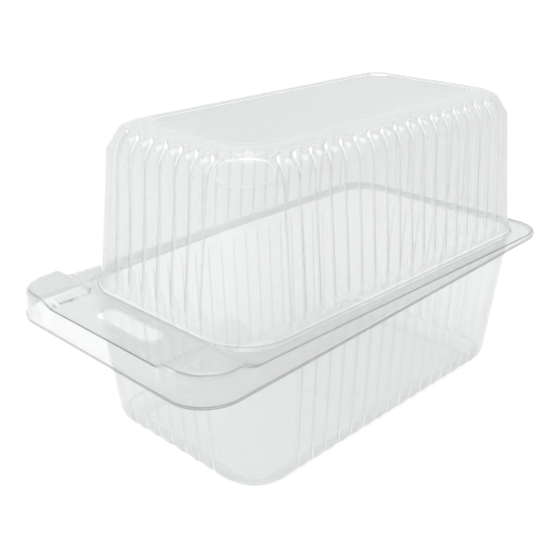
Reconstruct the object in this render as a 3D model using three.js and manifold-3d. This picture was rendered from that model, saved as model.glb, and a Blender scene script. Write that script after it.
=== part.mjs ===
// A clear hinged cake container, thermoformed from one sheet: a fluted tub with a wide handle flange, and a
// fluted dome lid that folds over it about a living hinge. Millimetres, +Z up. The origin is on the resting
// face, midway between the handle end (-Y) and the hinge end (+Y).
import * as THREE from 'three';
import Module from 'manifold-3d';

const wasm = await Module();
wasm.setup();

// Sheet
const sheet = 0.6; // wall of the formed sheet
const nestGap = 0.3; // clearance wherever the lid lies on or around the tray

// Trim edge and flange
const overallLength = 270; // handle end to hinge end, over the trim edge
const overallWidth = 145; // across the trim edge
const trimCorner = 20; // plan radius of the trim edge
const lipWidth = 0.8; // flat edge left by the trimming, outside the skirt
const flangeHeight = 83; // resting face to the top of the tray's flange
const skirtDepthHandle = 10; // flange top down to the trim edge, at the handle end
const skirtDepthHinge = 1; // the same, at the hinge end
const skirtLean = 0.2; // how far the skirt moves inward for each millimetre upward

// Handle tab
const handleTab = 33; // trim edge to the tub's rim at the handle end
const slotLength = 42;
const slotWidth = 11;
const slotInset = 19.7; // trim edge to the middle of the handle slot
const slotEndFlat = 0.2; // straight stretch in the middle of each of its round ends
const bossReach = 31.5; // size of each corner boss, from the trim edge inward
const bossInnerRadius = 9;
const bossShoulder = 3.3; // height of a boss above the flange where its steep ramp ends
const bossShoulderRamp = 4.5; // plan width of that ramp
const bossCrown = 4.6; // height of a boss's nearly flat top
const bossCrownRamp = 8; // plan width of both ramps together
const bossFacet = 4; // plan width of the sloping facet that ends a boss at the container's corner
const bossOuterRadius = 1; // plan radius of the two boss corners that the trim outline cuts away

// Tub
const flangeSide = 10; // trim edge to the tub's rim along the sides
const flangeHinge = 9.5; // trim edge to the tub's rim at the hinge
const tubDraftSide = 4; // inward lean of each tub wall over its whole height
const tubDraftHandle = 7.6;
const tubDraftHinge = 8;
const tubRimCorner = 21; // plan radius of the tub's upright corners at its rim
const tubFloorCornerHandle = 23; // the same at its floor
const tubFloorCornerHinge = 27;
const tubEdge = 12; // rounding between the walls and the floor

// Lid
const lidStepSide = 2; // the lid's foot stands this far inside the tub's rim
const lidStepHandle = 0.2;
const lidStepHinge = 0.5;
const lidDraftSide = 6.3; // inward lean of each lid wall over its whole height
const lidDraftHandle = 9.1;
const lidDraftHinge = 3;
const lidFootCornerHandle = 26.5; // plan radius of the lid's upright corners at its foot
const lidFootCornerHinge = 18;
const lidTopCornerHandle = 22; // the same at its top
const lidTopCornerHinge = 22;
const lidEdge = 15.5; // rounding between the walls and the top
const panelDepth = 1.2; // sunk panel on top of the lid
const panelBorder = 0.8; // flat strip between the edge rounding and the panel
const panelSlope = 2; // plan width of the step down into the panel
const panelCorner = 12;

// Flutes
const flutePitchLong = 10;
const flutePitchShort = 10.3;
const fluteDepth = 1.1;
const fluteRunIn = 3; // height over which the flutes begin, next to the flange
const tubPlainStrip = 6.8; // plain wall between the tub's handle corners and its first groove
const lidPlainStrip = 0.2; // the same on the lid

// Rounded ends of the upright corners
const tubFacetDepth = 0.4; // how much of each rounded corner a flat round facet takes off
const lidFacetDepth = 1.2;

const trimCornerSteps = 8; // straight stretches in each corner of the trim edge
const wallCornerSteps = 6; // and in each upright corner of the walls
const edgeStations = [[0, 1], [28, 1], [52, 0.7], [72, 0], [90, 0]]; // degrees round an edge, share of flute
const halfLength = overallLength / 2;
const halfWidth = overallWidth / 2;
const nestRise = sheet + nestGap; // the lid's flange lies this far above the tray's
const hingeAxisZ = flangeHeight - skirtDepthHinge + sheet + nestGap / 2;
const lidTopHeight = 2 * hingeAxisZ; // opened flat, the lid's top lies level with the tray's floor
const slotY = -halfLength + slotInset;

const tubRim = {
  side: halfWidth - flangeSide,
  handle: -halfLength + handleTab,
  hinge: halfLength - flangeHinge,
  handleCorner: tubRimCorner,
  hingeCorner: tubRimCorner,
};
const tubFloor = {
  side: tubRim.side - tubDraftSide,
  handle: tubRim.handle + tubDraftHandle,
  hinge: tubRim.hinge - tubDraftHinge,
  handleCorner: tubFloorCornerHandle,
  hingeCorner: tubFloorCornerHinge,
};
const lidFoot = {
  side: tubRim.side - lidStepSide,
  handle: tubRim.handle + lidStepHandle,
  hinge: tubRim.hinge - lidStepHinge,
  handleCorner: lidFootCornerHandle,
  hingeCorner: lidFootCornerHinge,
};
const lidTop = {
  side: lidFoot.side - lidDraftSide,
  handle: lidFoot.handle + lidDraftHandle,
  hinge: lidFoot.hinge - lidDraftHinge,
  handleCorner: lidTopCornerHandle,
  hingeCorner: lidTopCornerHinge,
};

// Height of the tray's trim edge above the resting face. It falls from the hinge to the handle end.
function trimHeight(y) {
  const towardsHandle = (halfLength - y) / overallLength;
  return flangeHeight - THREE.MathUtils.lerp(skirtDepthHinge, skirtDepthHandle, towardsHandle);
}

// A closed solid through rings of points. The rings run counterclockwise seen from above, bottom ring first.
function loft(rings) {
  const count = rings[0].length;
  const middle = (ring) => [0, 1, 2].map((axis) => ring.reduce((sum, point) => sum + point[axis], 0) / count);
  const bottom = rings.length * count;
  const top = bottom + 1;
  const lastRing = bottom - count;
  const triangles = [];
  for (let i = 0; i < count; i += 1) {
    const next = (i + 1) % count;
    triangles.push(bottom, next, i, top, lastRing + i, lastRing + next);
    for (let ring = 0; ring < lastRing; ring += count) {
      const [a, b] = [ring + i, ring + next];
      triangles.push(a, b, b + count, a, b + count, a + count);
    }
  }
  const mesh = new wasm.Mesh({
    numProp: 3,
    vertProperties: new Float32Array([...rings, [middle(rings[0]), middle(rings.at(-1))]].flat(2)),
    triVerts: new Uint32Array(triangles),
  });
  return new wasm.Manifold(mesh);
}

// Plan outline of a box with a radius at each corner, as points with their outward directions. The corners
// come in the order (right, front), (right, back), (left, back), (left, front).
function roundedOutline({ left, right, front, back }, radii, steps) {
  const corners = [
    [right - radii[0], front + radii[0], -90],
    [right - radii[1], back - radii[1], 0],
    [left + radii[2], back - radii[2], 90],
    [left + radii[3], front + radii[3], 180],
  ];
  return corners.flatMap(([x, y, start], corner) => Array.from({ length: steps + 1 }, (_, i) => {
    const angle = THREE.MathUtils.degToRad(start + (90 * i) / steps);
    const out = [Math.cos(angle), Math.sin(angle)];
    return { x: x + radii[corner] * out[0], y: y + radii[corner] * out[1], out };
  }));
}

const trimOutline = roundedOutline(
  { left: -halfWidth, right: halfWidth, front: -halfLength, back: halfLength },
  Array(4).fill(trimCorner),
  trimCornerSteps,
);

// The trim outline moved inward, at a height that may depend on the place along the container.
function trimRing(inset, height) {
  return trimOutline.map(({ x, y, out }) => {
    const move = inset(y);
    return [x - out[0] * move, y - out[1] * move, height(y)];
  });
}

// A block inside the trim outline, from the trim edge up past the flange, leaning inward on the way.
function trimBlock(inset, lean, base) {
  const top = flangeHeight + 2 * bossCrown;
  const topInset = (y) => inset + lean * (top - trimHeight(y));
  return loft([trimRing(() => inset, base), trimRing(topInset, () => top)]);
}

// One corner boss as a column from below the flange, before the trim outline bounds it.
function bossColumn(inset, level) {
  const below = 2 * skirtDepthHandle;
  const facetStart = (trimCorner - inset) - bossFacet;
  const centre = { x: halfWidth - trimCorner, y: trimCorner - halfLength };
  const ringAt = (height, ramp, faceted) => {
    const box = {
      left: halfWidth - bossReach + inset + ramp,
      right: halfWidth - inset,
      front: inset - halfLength,
      back: bossReach - halfLength - inset - ramp,
    };
    const radii = [trimCorner - inset, bossOuterRadius, bossInnerRadius, bossOuterRadius];
    return roundedOutline(box, radii, trimCornerSteps).map(({ x, y }) => {
      const beyond = ((x - centre.x) - (y - centre.y)) / Math.SQRT2 - facetStart;
      const back = faceted ? Math.max(0, beyond) / Math.SQRT2 : 0;
      return [x - back, y + back, level + height];
    });
  };
  return loft([
    ringAt(-below, 0, false),
    ringAt(0, 0, false),
    ringAt(bossShoulder, bossShoulderRamp, false),
    ringAt(bossCrown, bossCrownRamp, true),
  ]);
}

// The flange, its skirt and its two bosses as one block, filled in underneath.
function flangeBlock(inset, level, base) {
  const flat = [base, () => level].map((height) => trimOutline.map(({ x, y }) => [x, y, height(y)]));
  const skirt = trimBlock(inset, skirtLean, base).intersect(loft(flat));
  const boss = bossColumn(inset, level).intersect(trimBlock(inset, 0, base));
  return skirt.add(boss).add(boss.mirror([1, 0, 0]));
}

// One half's flange, skirt, bosses and trimmed lip, as a sheet open underneath.
function flangeSheet(inset, lift) {
  const lipBottom = (y) => trimHeight(y) + lift;
  const lipTop = (y) => lipBottom(y) + sheet;
  const underLip = (y) => lipBottom(y) - sheet;
  const lip = loft([trimRing(() => 0, lipBottom), trimRing(() => 0, lipTop)]);
  const outside = flangeBlock(inset, flangeHeight + lift, lipBottom);
  const inside = flangeBlock(inset + sheet, flangeHeight + lift - sheet, underLip);
  return outside.add(lip).subtract(inside);
}

// Grooves' places along a long side and along a short side, the same at every height of a half.
function groovePlaces({ closed, plainStrip }) {
  const start = closed.handle + closed.handleCorner + plainStrip;
  const long = Math.floor((closed.hinge - closed.hingeCorner - start) / flutePitchLong);
  const widestCorner = Math.max(closed.handleCorner, closed.hingeCorner);
  const half = Math.floor((closed.side - widestCorner) / flutePitchShort);
  return {
    long: { from: start, to: start + long * flutePitchLong, flutes: long },
    short: { from: -half * flutePitchShort, to: half * flutePitchShort, flutes: 2 * half },
  };
}

// Fluted plan outline. Each flute is a shallow outward bow between two grooves; the corners are plain.
function flutedOutline(box, depth, { long, short }) {
  const bow = [0, 8 / 9, 8 / 9]; // height of a flute at its groove and at each third
  const flutedSide = ({ from, to, flutes }, place) => {
    const stops = flutes * bow.length;
    return Array.from({ length: stops + 1 }, (_, i) => {
      const groove = depth * (1 - bow[i % bow.length]);
      return place(THREE.MathUtils.lerp(from, to, i / stops), groove);
    });
  };
  const outline = { left: -box.side, right: box.side, front: box.handle, back: box.hinge };
  const radii = [box.handleCorner, box.hingeCorner, box.hingeCorner, box.handleCorner];
  const corners = roundedOutline(outline, radii, wallCornerSteps).map(({ x, y }) => [x, y]);
  const corner = (index) => corners.slice(index * (wallCornerSteps + 1), (index + 1) * (wallCornerSteps + 1));
  const backward = ({ from, to, flutes }) => ({ from: to, to: from, flutes });
  return [
    ...corner(0),
    ...flutedSide(long, (y, groove) => [box.side - groove, y]),
    ...corner(1),
    ...flutedSide(backward(short), (x, groove) => [x, box.hinge - groove]),
    ...corner(2),
    ...flutedSide(backward(long), (y, groove) => [groove - box.side, y]),
    ...corner(3),
    ...flutedSide(short, (x, groove) => [x, box.handle + groove]),
  ];
}

// Moves a point of a rounded corner back onto the flat facet that ends the corner.
function flattenCorner([x, y, z], box, edge, endZ, facetDepth) {
  const upward = Math.sign(endZ - flangeHeight);
  const middle = (box.handle + box.hinge) / 2;
  const radius = y < middle ? box.handleCorner : box.hingeCorner;
  const limitY = (box.hinge - box.handle) / 2;
  const corner = new THREE.Vector3(box.side - radius, limitY - radius, endZ * upward - edge);
  const place = new THREE.Vector3(Math.abs(x), Math.abs(y - middle), z * upward);
  const out = new THREE.Vector3(1, 1, 1).normalize();
  const reach = edge + (radius - edge) * Math.sqrt(2 / 3) - facetDepth;
  const over = Math.max(0, place.sub(corner).dot(out) - reach);
  const side = Math.sign(x);
  const end = Math.sign(y - middle);
  return [x - side * out.x * over, y - end * out.y * over, z - upward * out.z * over];
}

// Rings of a fluted wall from its open end at the flange to the flat that closes it. The offset moves the
// whole surface inward, to make the inside of the sheet.
function wallRings(half, openZ, offset) {
  const { open, closed, edge, facetDepth, closedZ } = half;
  const upward = Math.sign(closedZ - flangeHeight);
  const endZ = closedZ - upward * offset;
  const edgeRadius = edge - offset;
  const boxAt = (z, inset) => {
    const along = (z - flangeHeight) / (closedZ - flangeHeight);
    const between = (key) => THREE.MathUtils.lerp(open[key], closed[key], along);
    return {
      side: between('side') - inset,
      handle: between('handle') + inset,
      hinge: between('hinge') - inset,
      handleCorner: between('handleCorner') - inset,
      hingeCorner: between('hingeCorner') - inset,
    };
  };
  const levels = [
    { z: openZ, inset: 0, depth: 0 },
    { z: flangeHeight + upward * fluteRunIn, inset: 0, depth: fluteDepth },
    ...edgeStations.map(([turn, share]) => {
      const angle = THREE.MathUtils.degToRad(turn);
      return {
        z: endZ - upward * edgeRadius * (1 - Math.sin(angle)),
        inset: edgeRadius * (1 - Math.cos(angle)),
        depth: fluteDepth * share,
      };
    }),
  ];
  const finalBox = boxAt(closedZ, offset);
  const grooves = groovePlaces(half);
  const rings = levels.map(({ z, inset, depth }) => (
    flutedOutline(boxAt(z, offset + inset), depth, grooves)
      .map(([x, y]) => flattenCorner([x, y, z], finalBox, edgeRadius, endZ, facetDepth))
  ));
  return upward > 0 ? rings : rings.reverse();
}

// The hollow above the lid's sunk panel. Growing it by the sheet gives the underside of the panel.
function panelPocket(growth) {
  const inset = lidEdge + panelBorder - growth;
  const ringAt = (rise) => {
    const extra = (-rise / panelDepth) * panelSlope;
    const box = {
      left: -lidTop.side + inset + extra,
      right: lidTop.side - inset - extra,
      front: lidTop.handle + inset + extra,
      back: lidTop.hinge - inset - extra,
    };
    return roundedOutline(box, Array(4).fill(panelCorner + growth - extra), trimCornerSteps)
      .map(({ x, y }) => [x, y, lidTopHeight + rise - growth]);
  };
  return loft([ringAt(-panelDepth), ringAt(panelDepth)]);
}

// The handle slot: a long hole with round ends, through both flanges.
function slotCutter() {
  const end = slotWidth / 2;
  const reach = 3 * nestRise;
  const box = { left: -slotLength / 2, right: slotLength / 2, front: slotY - end, back: slotY + end };
  const outline = roundedOutline(box, Array(4).fill(end - slotEndFlat / 2), wallCornerSteps);
  return loft([-reach, reach].map((rise) => outline.map(({ x, y }) => [x, y, flangeHeight + rise])));
}

function baseTray() {
  const tub = {
    open: tubRim,
    closed: tubFloor,
    plainStrip: tubPlainStrip,
    edge: tubEdge,
    facetDepth: tubFacetDepth,
    closedZ: 0,
  };
  const outside = loft(wallRings(tub, flangeHeight - sheet / 2, 0));
  const inside = loft(wallRings(tub, flangeHeight + 1, sheet));
  return flangeSheet(lipWidth + nestRise, 0).add(outside).subtract(inside).subtract(slotCutter());
}

function hingedLid() {
  const dome = {
    open: lidFoot,
    closed: lidTop,
    plainStrip: lidPlainStrip,
    edge: lidEdge,
    facetDepth: lidFacetDepth,
    closedZ: lidTopHeight,
  };
  const outside = loft(wallRings(dome, flangeHeight + nestRise - sheet / 2, 0)).subtract(panelPocket(0));
  const inside = loft(wallRings(dome, flangeHeight - 1, sheet)).subtract(panelPocket(sheet));
  return flangeSheet(lipWidth, nestRise).add(outside).subtract(inside).subtract(slotCutter());
}

// Clear PET: almost colourless, with a faint cool grey where the sheet is seen edge on.
function clearPet() {
  return new THREE.MeshStandardMaterial({
    color: 0xdfe5e6,
    roughness: 0.08,
    metalness: 0,
    transparent: true,
    opacity: 0.35,
  });
}

function namedMesh(name, solid) {
  const { vertProperties, triVerts } = solid.getMesh();
  const geometry = new THREE.BufferGeometry();
  geometry.setAttribute('position', new THREE.BufferAttribute(vertProperties, 3));
  geometry.setIndex(new THREE.BufferAttribute(triVerts, 1));
  geometry.computeVertexNormals();
  const mesh = new THREE.Mesh(geometry, clearPet());
  mesh.name = name;
  return mesh;
}

const group = new THREE.Group();
group.name = 'cake_container';
group.add(namedMesh('base_tray', baseTray()));
group.add(namedMesh('hinged_lid', hingedLid()));

export default group;
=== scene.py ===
import math

import bpy
import numpy as np
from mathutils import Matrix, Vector


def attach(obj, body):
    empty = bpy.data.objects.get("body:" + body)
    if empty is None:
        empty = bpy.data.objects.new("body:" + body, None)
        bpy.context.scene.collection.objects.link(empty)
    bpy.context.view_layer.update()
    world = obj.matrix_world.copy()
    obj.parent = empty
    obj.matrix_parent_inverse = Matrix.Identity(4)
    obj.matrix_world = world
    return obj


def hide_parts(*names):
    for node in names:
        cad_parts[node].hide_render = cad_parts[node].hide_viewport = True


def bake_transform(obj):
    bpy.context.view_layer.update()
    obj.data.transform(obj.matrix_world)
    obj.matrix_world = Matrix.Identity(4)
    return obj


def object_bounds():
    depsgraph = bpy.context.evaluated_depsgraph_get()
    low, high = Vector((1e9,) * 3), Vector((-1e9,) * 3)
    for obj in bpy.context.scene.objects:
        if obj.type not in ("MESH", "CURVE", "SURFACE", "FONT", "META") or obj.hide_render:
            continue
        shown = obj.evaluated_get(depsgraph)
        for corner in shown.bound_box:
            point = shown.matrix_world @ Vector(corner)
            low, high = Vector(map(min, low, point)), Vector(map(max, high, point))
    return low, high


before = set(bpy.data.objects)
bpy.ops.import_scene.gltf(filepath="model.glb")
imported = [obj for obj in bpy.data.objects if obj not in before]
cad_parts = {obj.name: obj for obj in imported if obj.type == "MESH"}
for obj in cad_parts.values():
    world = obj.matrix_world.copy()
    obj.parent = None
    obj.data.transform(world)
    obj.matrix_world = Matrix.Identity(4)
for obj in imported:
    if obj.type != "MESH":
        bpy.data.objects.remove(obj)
cad_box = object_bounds()
mm = 0.001

# The base tray: the fluted tub, its flange with the handle tab and two corner bosses, and the skirt that
# stiffens the flange. It is the lower half of one clear PET sheet, which is warmed, drawn down into a mould
# and trimmed round its skirt.

# Sizes that both halves of the mould share, in millimetres
SHEET = 0.6
NEST_GAP = 0.3  # between the two halves, where the lid's flange lies over the tray's
NEST_RISE = SHEET + NEST_GAP
LENGTH, WIDTH = 270.0, 145.0
TRIM_CORNER = 20.0
LIP = 0.8  # how far the trimmed lip stands out round the foot of the skirt
FLANGE_HEIGHT = 83.0
RIM_FILLET = 1.2  # between the wall and the flange
SKIRT_AT_HANDLE, SKIRT_AT_HINGE = 10.0, 1.0
SKIRT_LEAN = 0.2  # how far the skirt moves inward for each millimetre upward
SKIRT_BEND, BOSS_BEND = 0.5, 1.6  # radius of the fold from the flange, or from a boss, into the skirt
SLOT_LENGTH, SLOT_WIDTH, SLOT_INSET = 42.0, 11.0, 19.7
SLOT_CUT_BELOW, SLOT_CUT_ABOVE = 4.0, 5.0  # reach of the cutter, past both flanges
BOSS_REACH, BOSS_INNER_RADIUS = 31.5, 9.0
BOSS_EDGE_HEIGHT, BOSS_CROWN = 3.3, 4.6
BOSS_RAMP = 2.9  # plan width over which a boss rises to two thirds of its crown
BOSS_EDGE_SLOPE = 0.35  # how steeply its top falls towards the container's corner
BOSS_NEST = 0.6  # share of the nesting inset by which the tray's bosses are smaller
FLUTE_PITCH_LONG, FLUTE_PITCH_SHORT = 10.0, 10.3
FLUTE_HEIGHT = 1.1
GROOVE_WIDTH = 1.1
FLUTE_RUN_IN = 6.0  # height over which the flutes begin, next to the flange
FACET_BOW, FACET_HALF_WIDTH = 0.016, 13.0  # the facet that ends each rounded upright corner
FACET_RIM_SLOPE = 0.35  # how steeply the corner runs away from the facet at its rim
FLAT_MARGIN = 1.0  # between a plain flat end and its edge rounding

# The sheet's haze, with the painted shade and painted highlights along its folds, as shares from 0 to 1. It
# is hazy where the mould stretched it. The grey along its folds and at its cut edge is painted shade,
# standing in for the light that these bends refract away.
TAB_HAZE, RIM_HAZE, SKIRT_HAZE = 0.22, 0.13, 0.1
TAB_RUN_IN = 8.0  # in millimetres, either side of the tub's rim
# Strength of the painted shade line along the grooves, the rim fillet, the bosses' feet and the skirt's
# folds, and of the painted shade on the cut edge
GROOVE_SHADE, RIM_SHADE, BOSS_FOOT_SHADE = 0.17, 0.25, 0.5
SKIRT_FOLD_SHADE, BOSS_FOLD_SHADE, CUT_EDGE_SHADE = 0.5, 0.2, 0.5
TIP_SPREAD = 30.0  # degrees of the edge rounding over which the shine of a flute's tip fades

# Each point carries marks for its flute, its nearest fold, its haze, and the painted shade and painted
# highlight on it. These are the marks of plain sheet.
NO_FLUTE, NO_FOLD = 99.0, 9.0
PLAIN_SHEET = {
    "flute_past": NO_FLUTE,
    "fold_distance": NO_FOLD,
    "facet_distance": -NO_FLUTE,
    "fold_grey": 0.0,
    "fold_shine": 0.0,
    "sheet_shade": 0.0,
}

# A wall's plan at one height, in millimetres: where its sides, its handle wall and its hinge wall stand, and
# its corners' radius at the handle and at the hinge
TUB = {
    "open": np.array([62.5, -102.0, 125.5, 21.0, 21.0]),
    "closed": np.array([58.5, -94.4, 117.5, 23.0, 27.0]),
    "closed_z": 0.0,
    "face_inset": SHEET,  # the tub is drawn by its inner face
    "edge": 12.0,
    "edge_rings": 14,
    "facet": 0.4,
    "panel": None,
    "sag": 0.0,
    "first_groove": -64.6,
    "flutes": (15, 6),
    "tip_turn": 7.0,
    # painted shade of the grooves on the edge rounding, as a share of the wall's, and the painted highlight
    # at the flutes' tips
    "tip_shade": 0.6,
    "tip_shine": 0.35,
    "haze": 0.14,
}
GROW = np.array([1, -1, 1, 1, 1])  # what a plan gains when its walls move one millimetre outward

# How the rings of the sheet are spaced
FLUTE_SHARES = [0, 0.05, 0.1, 0.17, 0.3, 0.5, 0.7, 0.83, 0.9, 0.95]
PLAIN_SHARES = [0.25, 0.5, 0.75]
CORNER_STEPS = 16
FLAT_SHARES = [0.05, 0.3, 0.55, 0.78, 0.93]
WALL_SHARES = [*np.linspace(0.12, 0.86, 7), 0.9, 0.93, 0.955, 0.98, 1.0]
FLANGE_SHARES = [*np.linspace(0, 0.96, 24)[1:], 1.0]
SKIRT_SHARES = [0.35, 0.7, 0.92]
LIP_STEPS = [(0.75, 0.12), (0.4, 0.0), (0.03, 0.0), (0.0, 0.0)]  # share of its width, and height above it
FOLD_TURNS = [22, 45, 67, 90]
FIRST_EDGE_TURN = 88
SHARPEST_SMOOTH = 50  # degrees between two faces up to which they are shaded as one


def smooth_step(value):
    value = np.clip(value, 0, 1)
    return value * value * (3 - 2 * value)


def between(start, end, share):
    return start + (end - start) * share


def trim_height(y):
    """Height of the tray's trim edge, which falls from the hinge to the handle end."""
    towards_handle = (LENGTH / 2 - y) / LENGTH
    return FLANGE_HEIGHT - between(SKIRT_AT_HINGE, SKIRT_AT_HANDLE, towards_handle)


class Outline:
    """Plan outline of a formed wall: the same stations run round every ring of the sheet.

    Stations lie in the four rounded corners, on the fluted stretch of each side, and on the plain strip
    between the two. A fluted station keeps its place from ring to ring, so the flutes run upright."""

    def __init__(self, half):
        long_count, short_count = half["flutes"]
        short_start = -short_count / 2 * FLUTE_PITCH_SHORT
        self.zones = {
            "long": (half["first_groove"], FLUTE_PITCH_LONG, long_count),
            "short": (short_start, FLUTE_PITCH_SHORT, short_count),
        }

    def side(self, kind, low, high):
        """Places along a side between its two rounded corners, and each place's distance across its flute."""
        start, pitch, count = self.zones[kind]
        end = start + pitch * count
        before = [(between(low, start, k), 0.5 * pitch) for k in PLAIN_SHARES]
        flutes = [(start + pitch * (i + k), k * pitch) for i in range(count) for k in FLUTE_SHARES]
        after = [(between(end, high, k), 0.5 * pitch) for k in PLAIN_SHARES]
        return before + flutes + [(end, 0.0)] + after

    def ring(self, box, like=None):
        """Points, outward directions, places across a flute and flute pitches of one ring. Where like is
        another ring's box, the places are spread along the sides as they are on that one."""
        side, handle, hinge = box[:3]
        rows = []
        for turn, kind in enumerate(["long", "short", "long", "short"]):
            radius = box[3] if turn in (0, 3) else box[4]
            corner_x = (side - radius) * (1 if turn in (0, 1) else -1)
            corner_y = handle + radius if turn in (0, 3) else hinge - radius
            pitch = self.zones["long"][1]
            for step in range(CORNER_STEPS):
                angle = math.radians(90 * (turn - 1 + (step + 0.5) / CORNER_STEPS))
                out = (math.cos(angle), math.sin(angle))
                rows.append((corner_x + radius * out[0], corner_y + radius * out[1], *out, pitch / 2, pitch))
            low, high = self.span(turn, box)
            if like is None:
                places = self.side(kind, low, high)
            else:
                like_low, like_high = self.span(turn, like)
                scale = (high - low) / (like_high - like_low)
                places = [(low + (p - like_low) * scale, f) for p, f in self.side(kind, like_low, like_high)]
            pitch = self.zones[kind][1]
            if turn == 0:
                rows += [(side, p, 1, 0, f, pitch) for p, f in places]
            elif turn == 1:
                rows += [(p, hinge, 0, 1, f, pitch) for p, f in reversed(places)]
            elif turn == 2:
                rows += [(-side, p, -1, 0, f, pitch) for p, f in reversed(places)]
            else:
                rows += [(p, handle, 0, -1, f, pitch) for p, f in places]
        rows = np.array(rows)
        return rows[:, :2], rows[:, 2:4], rows[:, 4], rows[:, 5]

    @staticmethod
    def span(turn, box):
        """Ends of the straight stretch that follows a corner."""
        side, handle, hinge, handle_corner, hinge_corner = box
        if turn in (0, 2):
            return handle + handle_corner, hinge - hinge_corner
        reach = side - (hinge_corner if turn == 1 else handle_corner)
        return -reach, reach


def inside_boss(plan):
    """How far a place on the flange lies inside the foot of its corner boss; negative outside it."""
    across = np.abs(plan[:, 0]) - (WIDTH / 2 - BOSS_REACH)
    along = (BOSS_REACH - LENGTH / 2) - plan[:, 1]
    radius = BOSS_INNER_RADIUS
    corner = radius - np.hypot(np.maximum(radius - across, 0), np.maximum(radius - along, 0))
    return np.where((across < radius) & (along < radius), corner, np.minimum(across, along))


def boss_height(plan, inset):
    """Height of the two corner bosses above the flange. Their feet stand in by inset."""
    height = BOSS_CROWN * (1 - np.exp(-np.maximum(inside_boss(plan) - inset, 0) / BOSS_RAMP))
    corner_x = np.maximum(np.abs(plan[:, 0]) - (WIDTH / 2 - TRIM_CORNER), 0)
    corner_y = np.maximum((TRIM_CORNER - LENGTH / 2) - plan[:, 1], 0)
    rounded = TRIM_CORNER - np.hypot(corner_x, corner_y)
    straight = np.minimum(WIDTH / 2 - np.abs(plan[:, 0]), plan[:, 1] + LENGTH / 2)
    from_edge = np.where((corner_x > 0) & (corner_y > 0), rounded, straight)
    ceiling = BOSS_EDGE_HEIGHT + BOSS_EDGE_SLOPE * np.maximum(from_edge - LIP, 0)
    return np.minimum(height, ceiling)


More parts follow.
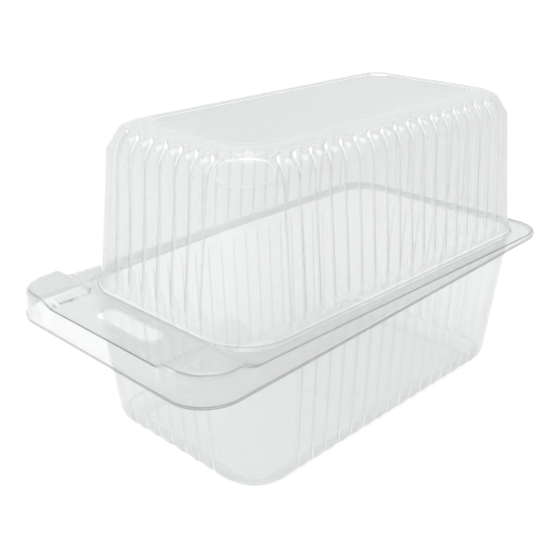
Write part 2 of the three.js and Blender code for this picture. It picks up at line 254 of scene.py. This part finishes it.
class HalfSheet:
    """One half of the container while its sheet is formed. The sheet is rings of points that run round the
    half, from the middle of its closed end along its wall and its flange to its trim edge."""

    def __init__(self, half, nest_inset, lift):
        self.half = half
        self.nest_inset = nest_inset
        self.lift = lift
        self.upward = 1 if half["closed_z"] > FLANGE_HEIGHT else -1
        self.closed_z = half["closed_z"] - self.upward * half["face_inset"]
        self.edge = half["edge"] - half["face_inset"]
        self.flange_top = FLANGE_HEIGHT + lift
        self.outline = Outline(half)
        self.final_box = self.box_at(half["closed_z"], FLUTE_HEIGHT)
        self.rings = []

    def box_at(self, z, inset):
        """The wall's plan at a height, moved inward."""
        share = (z - FLANGE_HEIGHT) / (self.half["closed_z"] - FLANGE_HEIGHT)
        box = between(self.half["open"], self.half["closed"], share)
        return box - GROW * (inset + self.half["face_inset"])

    def add(self, plan, z, place, pitch, **marks):
        """Adds one ring, with the marks in which it differs from plain sheet."""
        count = len(plan)
        ring = {"points": np.column_stack([plan, np.broadcast_to(z, count)])}
        ring["flute_out"] = marks.pop("flute_out", np.zeros((count, 3)))
        given = {"flute_place": place, "flute_pitch": pitch, "sheet_haze": self.half["haze"], **marks}
        for label, value in {**PLAIN_SHEET, **given}.items():
            ring[label] = np.broadcast_to(value, count)
        self.rings.append(ring)
        return ring

    def form_closed_end(self):
        """The flat floor, or the lid's sunk panel, from its middle line out to the edge rounding."""
        panel = self.half["panel"]
        flat_box = self.final_box - GROW * self.edge
        flat_z = self.closed_z
        # A sunk panel gets its own haze and a faint painted shade over it
        panel_haze_and_shade = {}
        if panel:
            step_box = flat_box - GROW * panel["border"]
            step_box[3:] = panel["corner"]
            flat_box = step_box - GROW * panel["slope"]
            flat_z -= panel["depth"]
            panel_haze_and_shade = {"sheet_haze": panel["haze"], "sheet_shade": panel["grey"]}
        else:
            flat_box = flat_box - GROW * FLAT_MARGIN
        flat_plan, _, place, pitch = self.outline.ring(flat_box, self.final_box)
        middle = (flat_box[1] + flat_box[2]) / 2
        spine_half = (flat_box[2] - flat_box[1]) / 2 - flat_box[0]
        spine_y = np.clip(flat_plan[:, 1], middle - spine_half, middle + spine_half)
        spine = np.column_stack([np.zeros(len(flat_plan)), spine_y])
        for share in FLAT_SHARES:
            z = flat_z - self.upward * self.half["sag"] * (1 - share**2)
            self.add(between(spine, flat_plan, share), z, place, pitch, **panel_haze_and_shade)
        if not panel:
            self.add(flat_plan, flat_z, place, pitch)
            return
        # Its step: the painted shade fades out across it, and a painted shade line runs along its foot with a
        # painted highlight line beside it
        for share in np.linspace(0, 1, 6):
            plan = self.outline.ring(step_box - GROW * panel["slope"] * (1 - share), self.final_box)[0]
            z = flat_z + self.upward * panel["depth"] * smooth_step(share)
            panel_haze_and_shade["sheet_shade"] = panel["grey"] * (1 - share)
            self.add(
                plan, z, place, pitch, fold_distance=share * panel["slope"],
                fold_grey=panel["step_shade"], fold_shine=panel["step_shine"], **panel_haze_and_shade,
            )

    def form_wall(self):
        """The rounding of the closed end's edge, with the flutes' tips on it, and the fluted wall."""
        half, upward = self.half, self.upward
        for turn in np.linspace(FIRST_EDGE_TURN, 0, half["edge_rings"]):
            angle = math.radians(turn)
            inset = self.edge * (1 - math.cos(angle)) + FLUTE_HEIGHT
            z = self.closed_z - upward * self.edge * (1 - math.sin(angle))
            plan, out, place, pitch = self.outline.ring(self.box_at(z, inset))
            climb = np.full(len(out), upward * math.sin(angle))
            # Along the rounding each groove carries a fainter painted shade line, and each rib a painted
            # highlight line just inside its outline, which fades out below the flutes' tips
            tip = 1 - smooth_step((half["tip_turn"] - turn) / TIP_SPREAD)
            ring = self.add(
                plan, z, place, pitch,
                flute_out=np.column_stack([out * math.cos(angle), climb]),
                flute_past=max(0.0, math.radians(turn - half["tip_turn"]) * self.edge),
                fold_grey=GROOVE_SHADE * half["tip_shade"],
                fold_shine=half["tip_shine"] * tip,
            )
            ring["points"], ring["facet_distance"] = self.flatten_corner(ring["points"])
        wall_start = self.closed_z - upward * self.edge
        wall_end = self.flange_top + upward * RIM_FILLET
        for share in WALL_SHARES:
            z = between(wall_start, wall_end, share)
            fade = smooth_step(abs(z - wall_end) / FLUTE_RUN_IN)
            plan, out, place, pitch = self.outline.ring(self.box_at(z, FLUTE_HEIGHT * fade))
            # On the wall the painted shade line along each groove grows to full strength towards the flange
            ring = self.add(
                plan, z, place, pitch,
                flute_out=np.column_stack([out, np.zeros(len(out))]) * fade,
                flute_past=0.0,
                fold_grey=GROOVE_SHADE * between(half["tip_shade"], 1, smooth_step(1.6 * share)),
            )
            ring["facet_distance"] = self.flatten_corner(ring["points"])[1]

    def flatten_corner(self, points):
        """Points of the rounded upright corners moved back onto the broad, slightly bowed facet that ends
        each, and how far every point lies inside the facet's rim."""
        side, handle, hinge, handle_corner, hinge_corner = self.final_box
        middle = (handle + hinge) / 2
        radius = np.where(points[:, 1] < middle, handle_corner, hinge_corner)
        place = np.column_stack([
            np.abs(points[:, 0]) - (side - radius),
            np.abs(points[:, 1] - middle) - ((hinge - handle) / 2 - radius),
            points[:, 2] * self.upward - (self.closed_z * self.upward - self.edge),
        ])
        share = 1 / math.sqrt(3)
        across = (place[:, 0] - place[:, 1]) / math.sqrt(2)
        bow = FACET_BOW * np.minimum(across**2, FACET_HALF_WIDTH**2)
        reach = self.edge + (radius - self.edge) * math.sqrt(2 / 3) - self.half["facet"]
        past = place.sum(1) * share + bow - reach
        over = np.maximum(0, past) * share
        outward = [np.sign(points[:, 0]), np.sign(points[:, 1] - middle), np.full(len(points), self.upward)]
        return points - np.column_stack(outward) * over[:, None], past / FACET_RIM_SLOPE

    def form_flange(self):
        """The fillet at the wall's foot, the flange with its bosses, the skirt, and the trimmed lip."""
        half = self.half
        for turn in FOLD_TURNS:
            angle = math.radians(turn)
            z = self.flange_top + self.upward * RIM_FILLET * (1 - math.sin(angle))
            rim_box = self.box_at(z, -RIM_FILLET * (1 - math.cos(angle)))
            rim_plan, _, place, pitch = self.outline.ring(rim_box)
            # The fillet carries a painted shade line along it
            self.add(
                rim_plan, z, place, pitch, fold_distance=math.radians(90 - turn) * RIM_FILLET,
                fold_grey=RIM_SHADE, sheet_haze=between(half["haze"], RIM_HAZE, turn / 90),
            )

        trim_box = np.array([WIDTH / 2, -LENGTH / 2, LENGTH / 2, TRIM_CORNER, TRIM_CORNER])
        rim_box = self.box_at(self.flange_top, -RIM_FILLET)
        trim_plan, trim_out, place, pitch = self.outline.ring(trim_box, rim_box)
        lip_top = trim_height(trim_plan[:, 1]) + self.lift + SHEET
        boss_inset = BOSS_NEST * self.nest_inset
        on_boss = smooth_step(boss_height(trim_plan, boss_inset) / BOSS_EDGE_HEIGHT)
        base_inset = LIP + self.nest_inset
        edge_top = self.flange_top + boss_height(trim_plan - trim_out * base_inset, boss_inset)
        rise = edge_top - lip_top
        lean = SKIRT_LEAN * (1 - on_boss)
        bend = np.minimum(between(SKIRT_BEND, BOSS_BEND, on_boss), 0.6 * rise)
        edge_inset = base_inset + lean * rise + bend
        edge_plan = trim_plan - trim_out * edge_inset[:, None]
        flange_width = np.linalg.norm(edge_plan - rim_plan, axis=1)
        # Painted shade lines run along the fold into the skirt (fainter on the bosses), along the rim and
        # along each boss's foot
        skirt_shade = between(SKIRT_FOLD_SHADE, BOSS_FOLD_SHADE, on_boss)
        for share in FLANGE_SHARES:
            plan = between(rim_plan, edge_plan, share)
            z = self.flange_top + boss_height(plan, boss_inset)
            from_foot = np.abs(inside_boss(plan) - boss_inset)
            from_skirt = (1 - share) * flange_width
            fold = np.minimum(np.minimum(from_skirt, share * flange_width), from_foot)
            grey = np.where(from_skirt <= fold, skirt_shade, RIM_SHADE)
            on_tab = smooth_step((half["open"][1] + TAB_RUN_IN - plan[:, 1]) / (2 * TAB_RUN_IN))
            haze = between(RIM_HAZE, TAB_HAZE, on_tab)
            self.add(
                plan, z, place, pitch, fold_distance=fold,
                fold_grey=np.where(from_foot <= fold, BOSS_FOOT_SHADE, grey), sheet_haze=haze,
            )

        for turn in FOLD_TURNS:
            angle = math.radians(turn)
            inset = edge_inset - bend * math.sin(angle)
            z = edge_top - bend * (1 - math.cos(angle))
            # The fold into the skirt carries its painted shade line
            self.add(
                trim_plan - trim_out * inset[:, None], z, place, pitch, fold_distance=angle * bend,
                fold_grey=skirt_shade, sheet_haze=between(haze, SKIRT_HAZE, turn / 90),
            )
        for share in SKIRT_SHARES:
            z = edge_top - bend - (rise - bend) * share
            inset = base_inset + lean * (z - lip_top)
            self.add(trim_plan - trim_out * inset[:, None], z, place, pitch, sheet_haze=SKIRT_HAZE)
        for share, up in LIP_STEPS:
            plan = trim_plan - trim_out * (base_inset * share)
            ring = self.add(plan, lip_top + up, place, pitch, sheet_haze=SKIRT_HAZE)
        # The cut edge gets a painted shade
        ring["sheet_shade"] = np.full(len(trim_plan), CUT_EDGE_SHADE)

    def mesh(self, name):
        """A mesh of quads between the rings, with the first ring closed and the marks on its points."""
        count = len(self.rings[0]["points"])
        made = bpy.data.meshes.new(name)
        points = np.concatenate([ring["points"] for ring in self.rings]) * mm
        faces = [tuple(range(count))]
        for a in range(0, (len(self.rings) - 1) * count, count):
            b = a + count
            faces += [(a + i, b + i, b + (i + 1) % count, a + (i + 1) % count) for i in range(count)]
        made.from_pydata(points.tolist(), [], faces)
        outward = np.concatenate([ring["flute_out"] for ring in self.rings]).astype(np.float32)
        made.attributes.new("flute_out", "FLOAT_VECTOR", "POINT").data.foreach_set("vector", outward.ravel())
        marks = {"flute_press": np.linalg.norm(outward, axis=1)}
        for label in ("fold_grey", "fold_shine", "sheet_haze", "sheet_shade"):
            marks[label] = np.concatenate([ring[label] for ring in self.rings])
        for label in ("flute_place", "flute_pitch", "flute_past", "fold_distance", "facet_distance"):
            marks[label] = np.concatenate([ring[label] for ring in self.rings]) * mm
        for label, values in marks.items():
            made.attributes.new(label, "FLOAT", "POINT").data.foreach_set("value", values.astype(np.float32))
        return made


def form_sheet(name, half, nest_inset, lift):
    """The mesh of one half's drawn face, before its flutes are pressed and it gets its thickness."""
    sheet = HalfSheet(half, nest_inset, lift)
    sheet.form_closed_end()
    sheet.form_wall()
    sheet.form_flange()
    return sheet.mesh(name)


def node(tree, kind, inputs=None, **settings):
    """Adds a node with its settings. inputs maps a socket to a value, to another node's output, or to another
    node, which stands for its first output."""
    made = tree.nodes.new(kind)
    for key, value in settings.items():
        setattr(made, key, value)
    for key, value in (inputs or {}).items():
        if isinstance(value, bpy.types.Node):
            value = value.outputs[0]
        if isinstance(value, bpy.types.NodeSocket):
            tree.links.new(value, made.inputs[key])
        else:
            made.inputs[key].default_value = value
    return made


FLUTE_SIZES = {
    "Rib height": 0.8 * FLUTE_HEIGHT,
    "Rib crown": 0.2 * FLUTE_HEIGHT,
    "Groove width": GROOVE_WIDTH,
}


def flute_tree(material):
    """Presses the flutes: each is a rib with a rounded tip, raised from the wall between narrow grooves."""
    tree = bpy.data.node_groups.new("press_flutes", "GeometryNodeTree")
    tree.interface.new_socket("Geometry", in_out="INPUT", socket_type="NodeSocketGeometry")
    for label in FLUTE_SIZES:
        tree.interface.new_socket(label, in_out="INPUT", socket_type="NodeSocketFloat")
    tree.interface.new_socket("Geometry", in_out="OUTPUT", socket_type="NodeSocketGeometry")
    given = node(tree, "NodeGroupInput").outputs
    found = {label: given[label] for label in FLUTE_SIZES}
    for label in ("flute_place", "flute_pitch", "flute_past", "flute_press", "fold_distance"):
        mark = node(tree, "GeometryNodeInputNamedAttribute", {"Name": label}, data_type="FLOAT")
        found[label] = mark.outputs["Attribute"]
    outward = node(tree, "GeometryNodeInputNamedAttribute", {"Name": "flute_out"}, data_type="FLOAT_VECTOR")
    steps = (
        # how far a place lies inside its flute, whose end is round
        ("half pitch", "MULTIPLY", "flute_pitch", 0.5),
        ("across", "SUBTRACT", "flute_place", "half pitch"),
        ("across squared", "MULTIPLY", "across", "across"),
        ("past squared", "MULTIPLY", "flute_past", "flute_past"),
        ("away squared", "ADD", "across squared", "past squared"),
        ("away", "SQRT", "away squared"),
        ("within", "SUBTRACT", "half pitch", "away"),
        ("inside", "MAXIMUM", "within", 0.0),
        # the rib rises steeply beside the groove, and its crown more gently
        ("groove share", "DIVIDE", "inside", "Groove width"),
        ("groove squared", "MULTIPLY", "groove share", "groove share"),
        ("groove fall", "MULTIPLY", "groove squared", -1.0),
        ("groove", "EXPONENT", "groove fall"),
        ("rib share", "SUBTRACT", 1.0, "groove"),
        ("rib", "MULTIPLY", "Rib height", "rib share"),
        ("crown share", "DIVIDE", "inside", "half pitch"),
        ("crown rest", "SUBTRACT", 2.0, "crown share"),
        ("crown curve", "MULTIPLY", "crown share", "crown rest"),
        ("crown", "MULTIPLY", "Rib crown", "crown curve"),
        ("rise", "ADD", "rib", "crown"),
        # a groove is a fold too, where the flutes are pressed
        ("near", "MAXIMUM", "within", -NO_FOLD * mm),
        ("unpressed share", "SUBTRACT", 1.0, "flute_press"),
        ("unpressed", "MULTIPLY", "unpressed share", 2 * NO_FOLD * mm),
        ("groove distance", "ADD", "near", "unpressed"),
        ("fold", "MINIMUM", "groove distance", "fold_distance"),
    )
    for label, operation, *terms in steps:
        inputs = {place: found.get(term, term) for place, term in enumerate(terms)}
        found[label] = node(tree, "ShaderNodeMath", inputs, operation=operation).outputs[0]
    push = {0: outward.outputs["Attribute"], "Scale": found["rise"]}
    offset = node(tree, "ShaderNodeVectorMath", push, operation="SCALE")
    moved = node(tree, "GeometryNodeSetPosition", {"Geometry": given["Geometry"], "Offset": offset})
    store = {"Geometry": moved, "Name": "fold_distance", "Value": found["fold"]}
    lined = node(tree, "GeometryNodeStoreNamedAttribute", store, data_type="FLOAT", domain="POINT")
    real = node(tree, "GeometryNodeRealizeInstances", {"Geometry": lined})
    coated = node(tree, "GeometryNodeSetMaterial", {"Geometry": real, "Material": material})
    node(tree, "NodeGroupOutput", {"Geometry": coated})
    return tree


def linear(colour):
    """An sRGB hex colour as linear red, green, blue and alpha."""
    channels = [int(colour[i : i + 2], 16) / 255 for i in (1, 3, 5)]
    return (*[c / 12.92 if c <= 0.04045 else ((c + 0.055) / 1.055) ** 2.4 for c in channels], 1.0)


# What the eye sees in the sheet
FACE_GLOSS = 0.045  # mirror share of PET seen straight on
EDGE_GLOSS = 0.9  # and what it gains where the eye passes along it
FOLD_WIDTH = 0.35  # of the painted shade line along a fold, in millimetres
GLINT_PLACE = 2.0  # where the painted highlight line beside a fold lies, in fold widths
FACET_LINE, FACET_GLINT = 0.5, 0.15  # width in millimetres, and mirror share, of the painted highlight line round a facet
SLANT_HAZE = 0.08  # more haze where the sheet is seen at a slant
SLANT_START, SLANT_END = 0.42, 0.62
WAVE_LENGTH, WAVE_HEIGHT = 22.0, 0.25  # of the slight unevenness that the hot sheet keeps, in millimetres


def clear_pet():
    """Clear APET sheet, thermoformed. Stretching in the mould leaves a faint haze and a slight waviness in
    its gloss. It looks greyer where the eye passes along it. Its cut edge, its tight folds and its sunk panel
    get painted grey shade, and painted highlight lines run beside the folds and round the corner facets."""
    material = bpy.data.materials.new("clear_pet_sheet")
    material.use_nodes = True
    tree = material.node_tree
    tree.nodes.clear()
    found = {"facing": node(tree, "ShaderNodeLayerWeight", {"Blend": 0.5}).outputs["Facing"]}
    for label in ("fold_distance", "fold_grey", "fold_shine", "facet_distance", "sheet_shade", "sheet_haze"):
        found[label] = node(tree, "ShaderNodeAttribute", attribute_name=label).outputs["Fac"]
    slant = {0: found["facing"], 1: SLANT_START, 2: SLANT_END}
    found["slanted"] = node(tree, "ShaderNodeMapRange", slant, interpolation_type="SMOOTHSTEP").outputs[0]
    steps = (
        ("grazing", "POWER", "facing", 6.0),
        # a painted shade line along each fold, and a painted highlight line beside it
        ("from fold", "DIVIDE", "fold_distance", FOLD_WIDTH * mm),
        ("fold squared", "MULTIPLY", "from fold", "from fold"),
        ("fold fall", "MULTIPLY", "fold squared", -1.0),
        ("fold line", "EXPONENT", "fold fall"),
        ("fold line grey", "MULTIPLY", "fold line", "fold_grey"),
        ("grey", "MAXIMUM", "fold line grey", "sheet_shade"),
        ("from glint", "SUBTRACT", "from fold", GLINT_PLACE),
        ("glint squared", "MULTIPLY", "from glint", "from glint"),
        ("glint fall", "MULTIPLY", "glint squared", -1.0),
        ("glint line", "EXPONENT", "glint fall"),
        ("glint", "MULTIPLY", "glint line", "fold_shine"),
        # a fainter painted highlight line round each facet
        ("from rim", "DIVIDE", "facet_distance", FACET_LINE * mm),
        ("rim squared", "MULTIPLY", "from rim", "from rim"),
        ("rim fall", "MULTIPLY", "rim squared", -1.0),
        ("rim line", "EXPONENT", "rim fall"),
        ("rim glint", "MULTIPLY", "rim line", FACET_GLINT),
        # the mirror share of the surface, raised along the painted highlight lines
        ("edge on", "POWER", "facing", 5.0),
        ("gloss", "MULTIPLY_ADD", "edge on", EDGE_GLOSS, FACE_GLOSS),
        ("gloss and glint", "MAXIMUM", "gloss", "glint"),
        ("reflected", "MAXIMUM", "gloss and glint", "rim glint"),
        ("hazy", "MULTIPLY_ADD", "slanted", SLANT_HAZE, "sheet_haze"),
    )
    for label, operation, *terms in steps:
        inputs = {place: found.get(term, term) for place, term in enumerate(terms)}
        found[label] = node(tree, "ShaderNodeMath", inputs, operation=operation).outputs[0]

    # colour of the light that passes straight through, and of the haze, each mixed towards a dark grey where
    # painted shade lies on folds, the cut edge and the sunk panel
    colours = []
    for share, face_on, aslant in (("grazing", "#fbfbfb", "#eeefef"), ("slanted", "#f8f9fa", "#f7faf8")):
        plain = {0: found[share], 6: linear(face_on), 7: linear(aslant)}
        plain = node(tree, "ShaderNodeMix", plain, data_type="RGBA")
        greyed = {0: found["grey"], 6: plain.outputs[2], 7: linear("#4d5456")}
        greyed = node(tree, "ShaderNodeMix", greyed, data_type="RGBA")
        colours.append(greyed.outputs[2])
    clear = node(tree, "ShaderNodeBsdfTransparent", {"Color": colours[0]})
    front = node(tree, "ShaderNodeBsdfDiffuse", {"Color": colours[1]})
    through = node(tree, "ShaderNodeBsdfTranslucent", {"Color": colours[1]})
    haze = node(tree, "ShaderNodeMixShader", {0: 0.5, 1: front, 2: through})
    body = node(tree, "ShaderNodeMixShader", {0: found["hazy"], 1: clear, 2: haze})

    place = node(tree, "ShaderNodeTexCoord").outputs["Object"]
    wave_scale = 1 / (WAVE_LENGTH * mm)
    waves = node(tree, "ShaderNodeTexNoise", {"Vector": place, "Scale": wave_scale, "Detail": 2.0})
    bump = node(tree, "ShaderNodeBump", {"Height": waves, "Distance": WAVE_HEIGHT * mm, "Strength": 1.0})
    mirror = {"Base Color": linear("#fbfcfc"), "Roughness": 0.07, "Metallic": 1.0, "Normal": bump}
    gloss = node(tree, "ShaderNodeBsdfPrincipled", mirror)
    mixed = node(tree, "ShaderNodeMixShader", {0: found["reflected"], 1: body, 2: gloss})
    node(tree, "ShaderNodeOutputMaterial", {"Surface": mixed})
    return material


def prism(name, first, last):
    """A closed solid between two copies of one section, given as points in millimetres at its two ends."""
    count = len(first)
    faces = [tuple(reversed(range(count))), tuple(range(count, 2 * count))]
    faces += [(i, (i + 1) % count, count + (i + 1) % count, count + i) for i in range(count)]
    mesh = bpy.data.meshes.new(name)
    mesh.from_pydata([tuple(c * mm for c in point) for point in [*first, *last]], [], faces)
    return mesh


def slot_cutter():
    """An obround block through both flanges at the handle slot."""
    end = SLOT_WIDTH / 2
    straight = SLOT_LENGTH / 2 - end
    centre_y = SLOT_INSET - LENGTH / 2
    plan = []
    for side in (1, -1):
        for turn in np.linspace(-90, 90, 25):
            angle = math.radians(turn)
            plan.append((side * (straight + end * math.cos(angle)), centre_y + side * end * math.sin(angle)))
    first = [(x, y, FLANGE_HEIGHT - SLOT_CUT_BELOW) for x, y in plan]
    last = [(x, y, FLANGE_HEIGHT + SLOT_CUT_ABOVE) for x, y in plan]
    return bpy.data.objects.new("slot_cutter", prism("slot_cutter", first, last))


def finish_sheet(name, mesh, tree, cutter, node_name, body):
    """Presses the flutes, gives the sheet its thickness, cuts the slot, and sets the half on its body."""
    piece = bpy.data.objects.new(name, mesh)
    bpy.context.scene.collection.objects.link(piece)
    flutes = piece.modifiers.new("press_flutes", "NODES")
    flutes.node_group = tree
    for item in tree.interface.items_tree:
        if item.name in FLUTE_SIZES:
            flutes[item.identifier] = FLUTE_SIZES[item.name] * mm
    wall = piece.modifiers.new("sheet", "SOLIDIFY")
    wall.thickness = SHEET * mm
    wall.offset = -1
    cut = piece.modifiers.new("slot", "BOOLEAN")
    cut.operation = "DIFFERENCE"
    cut.solver = "EXACT"
    cut.object = cutter
    graph = bpy.context.evaluated_depsgraph_get()
    final = bpy.data.meshes.new_from_object(piece.evaluated_get(graph), depsgraph=graph)
    piece.modifiers.clear()
    piece.data = final
    final.shade_smooth()
    final.set_sharp_from_angle(angle=math.radians(SHARPEST_SMOOTH))
    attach(piece, body)
    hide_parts(node_name)


pet = clear_pet()
flutes = flute_tree(pet)
cutter = slot_cutter()
bpy.context.scene.collection.objects.link(cutter)
tray_mesh = form_sheet("base_tray_sheet", TUB, NEST_RISE, 0.0)
finish_sheet("base_tray_sheet", tray_mesh, flutes, cutter, "base_tray", "tray")

# The hinged lid: the fluted dome over the cake, with a sunk panel on top, and the same flange, tab and bosses
# as the tray, pressed to nest over the tray's. It is the upper half of the same clear PET sheet.
LID = {
    "open": np.array([60.5, -101.8, 125.0, 26.5, 18.0]),
    "closed": np.array([54.2, -92.7, 122.0, 22.0, 22.0]),
    "closed_z": 165.5,
    "face_inset": 0.0,  # the lid is drawn by its outer face
    "edge": 15.5,
    "edge_rings": 22,
    "facet": 0.4,
    "panel": {
        "depth": 1.2,
        "border": 0.8,
        "slope": 2.0,
        "corner": 12.0,
        "haze": 0.6,
        # the panel's faint painted shade, and the painted shade line and painted highlight line along its
        # step
        "grey": 0.08,
        "step_shade": 0.15,
        "step_shine": 0.9,
    },
    "sag": 0.8,
    "first_groove": -70.5,
    "flutes": (17, 6),
    "tip_turn": 36.0,
    # painted shade of the grooves on the edge rounding, as a share of the wall's, and the painted highlight
    # at the flutes' tips
    "tip_shade": 0.3,
    "tip_shine": 0.6,
    "haze": 0.26,
}
lid_mesh = form_sheet("hinged_lid_sheet", LID, 0.0, NEST_RISE)
finish_sheet("hinged_lid_sheet", lid_mesh, flutes, cutter, "hinged_lid", "lid")
bpy.data.objects.remove(cutter)

# The living hinge: a narrow band of the same sheet at the end opposite the handle, left whole when the
# halves were trimmed, and pressed thin so that the real sheet folds there. It joins the tray's edge to the
# lid's.
HINGE_LENGTH = 100.0
HINGE_SHEET = 0.2
HINGE_GRIP = 0.12  # how far it runs into each half's edge

loop_middle = trim_height(LENGTH / 2) + SHEET + NEST_GAP / 2
loop_radius = (SHEET + NEST_GAP) / 2
section = []
for radius, turns in (
    (loop_radius + HINGE_SHEET / 2, range(-90, 91, 15)),
    (loop_radius - HINGE_SHEET / 2, range(90, -91, -15)),
):
    arc = [
        (LENGTH / 2 + radius * math.cos(math.radians(t)), loop_middle + radius * math.sin(math.radians(t)))
        for t in turns
    ]
    section += [(LENGTH / 2 - HINGE_GRIP, arc[0][1]), *arc, (LENGTH / 2 - HINGE_GRIP, arc[-1][1])]
first, last = ([(side * HINGE_LENGTH / 2, y, z) for y, z in section] for side in (-1, 1))
hinge_mesh = prism("living_hinge", first, last)
for label, value in (("sheet_haze", LID["haze"]), ("facet_distance", -NO_FLUTE * mm)):
    values = np.full(len(hinge_mesh.vertices), value, np.float32)
    hinge_mesh.attributes.new(label, "FLOAT", "POINT").data.foreach_set("value", values)
hinge_mesh.materials.append(pet)
hinge_mesh.shade_smooth()
hinge_mesh.set_sharp_from_angle(angle=math.radians(SHARPEST_SMOOTH))
hinge = bpy.data.objects.new("living_hinge", hinge_mesh)
bpy.context.scene.collection.objects.link(hinge)
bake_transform(hinge)

# The stage: a plain sheet of white paper under the container and far beyond it. It keeps the container's
# shadow, and glows a little for the eye alone so that it looks white all over.
FLOOR_HALF = 6.0  # in metres
FLOOR_GLOW = 0.45

floor_mesh = bpy.data.meshes.new("floor")
corners = [(x * FLOOR_HALF, y * FLOOR_HALF, 0) for x, y in ((-1, -1), (1, -1), (1, 1), (-1, 1))]
floor_mesh.from_pydata(corners, [], [(0, 1, 2, 3)])
floor = bpy.data.objects.new("floor", floor_mesh)
bpy.context.scene.collection.objects.link(floor)
paper = bpy.data.materials.new("white_paper_floor")
paper.use_nodes = True
tree = paper.node_tree
tree.nodes.clear()
path = node(tree, "ShaderNodeLightPath").outputs
sight = {0: path["Is Camera Ray"], 1: path["Is Glossy Ray"]}
seen = node(tree, "ShaderNodeMath", sight, operation="MAXIMUM")
matt = node(tree, "ShaderNodeBsdfDiffuse", {"Color": linear("#e6e6e6")})
glow = node(tree, "ShaderNodeEmission", {"Color": linear("#ffffff"), "Strength": FLOOR_GLOW})
both = node(tree, "ShaderNodeAddShader", {0: matt, 1: glow})
mixed = node(tree, "ShaderNodeMixShader", {0: seen, 1: matt, 2: both})
node(tree, "ShaderNodeOutputMaterial", {"Surface": mixed})
floor_mesh.materials.append(paper)

# The studio round it: white walls that light it evenly from all sides. They look brighter to the eye and in
# the sheet's gloss than the light they give.
WALL_LIGHT = 0.75

world = bpy.data.worlds.new("studio")
bpy.context.scene.world = world
world.use_nodes = True
tree = world.node_tree
tree.nodes.clear()
path = node(tree, "ShaderNodeLightPath").outputs
sight = {0: path["Is Camera Ray"], 1: path["Is Glossy Ray"]}
seen = node(tree, "ShaderNodeMath", sight, operation="MAXIMUM")
dim = node(tree, "ShaderNodeBackground", {"Color": linear("#ffffff"), "Strength": WALL_LIGHT})
white = node(tree, "ShaderNodeBackground", {"Color": linear("#ffffff"), "Strength": 1.0})
mixed = node(tree, "ShaderNodeMixShader", {0: seen, 1: dim, 2: white})
node(tree, "ShaderNodeOutputWorld", {"Surface": mixed})

# Four soft boxes: a wide one overhead, one in front that fills the shadows without showing in the gloss, and
# a small one high on either side for the bright lines on the flutes. Places and sizes are in metres.
middle = (cad_box[0] + cad_box[1]) / 2
for name, place, size, power in (
    ("overhead_softbox", (0.0, 0.02, 1.5), 1.2, 4.5),
    ("front_softbox", (0.1, -1.1, 0.45), 0.8, 2.8),
    ("left_softbox", (-0.72, -0.45, 0.83), 0.3, 0.5),
    ("right_softbox", (0.45, 0.75, 0.81), 0.3, 0.5),
):
    lamp = bpy.data.lights.new(name, "AREA")
    lamp.shape = "RECTANGLE"
    lamp.size, lamp.size_y = size, size
    lamp.energy = power
    light = bpy.data.objects.new(name, lamp)
    bpy.context.scene.collection.objects.link(light)
    light.location = place
    light.rotation_euler = (middle - light.location).normalized().to_track_quat("-Z", "Y").to_euler()
bpy.data.objects["front_softbox"].visible_glossy = False

# The camera, which looks down at the handle end from half a metre away
azimuth, elevation = math.radians(44.14), math.radians(23.34)
aim = Vector((-7.6, -9.4, 70.5)) * mm
distance = 470 * mm
level = math.cos(elevation)
back = Vector((math.sin(azimuth) * level, -math.cos(azimuth) * level, math.sin(elevation)))
camera_data = bpy.data.cameras.new("camera")
camera_data.sensor_width = 36
camera_data.lens = 55.22
camera = bpy.data.objects.new("camera", camera_data)
bpy.context.scene.collection.objects.link(camera)
camera.location = aim + back * distance
camera.rotation_euler = (math.radians(90) - elevation, 0, azimuth)
bpy.context.scene.camera = camera
bpy.context.scene.view_settings.view_transform = "Standard"
bpy.context.scene.cycles.transparent_max_bounces = 32  # enough for every layer of sheet in a line of sight
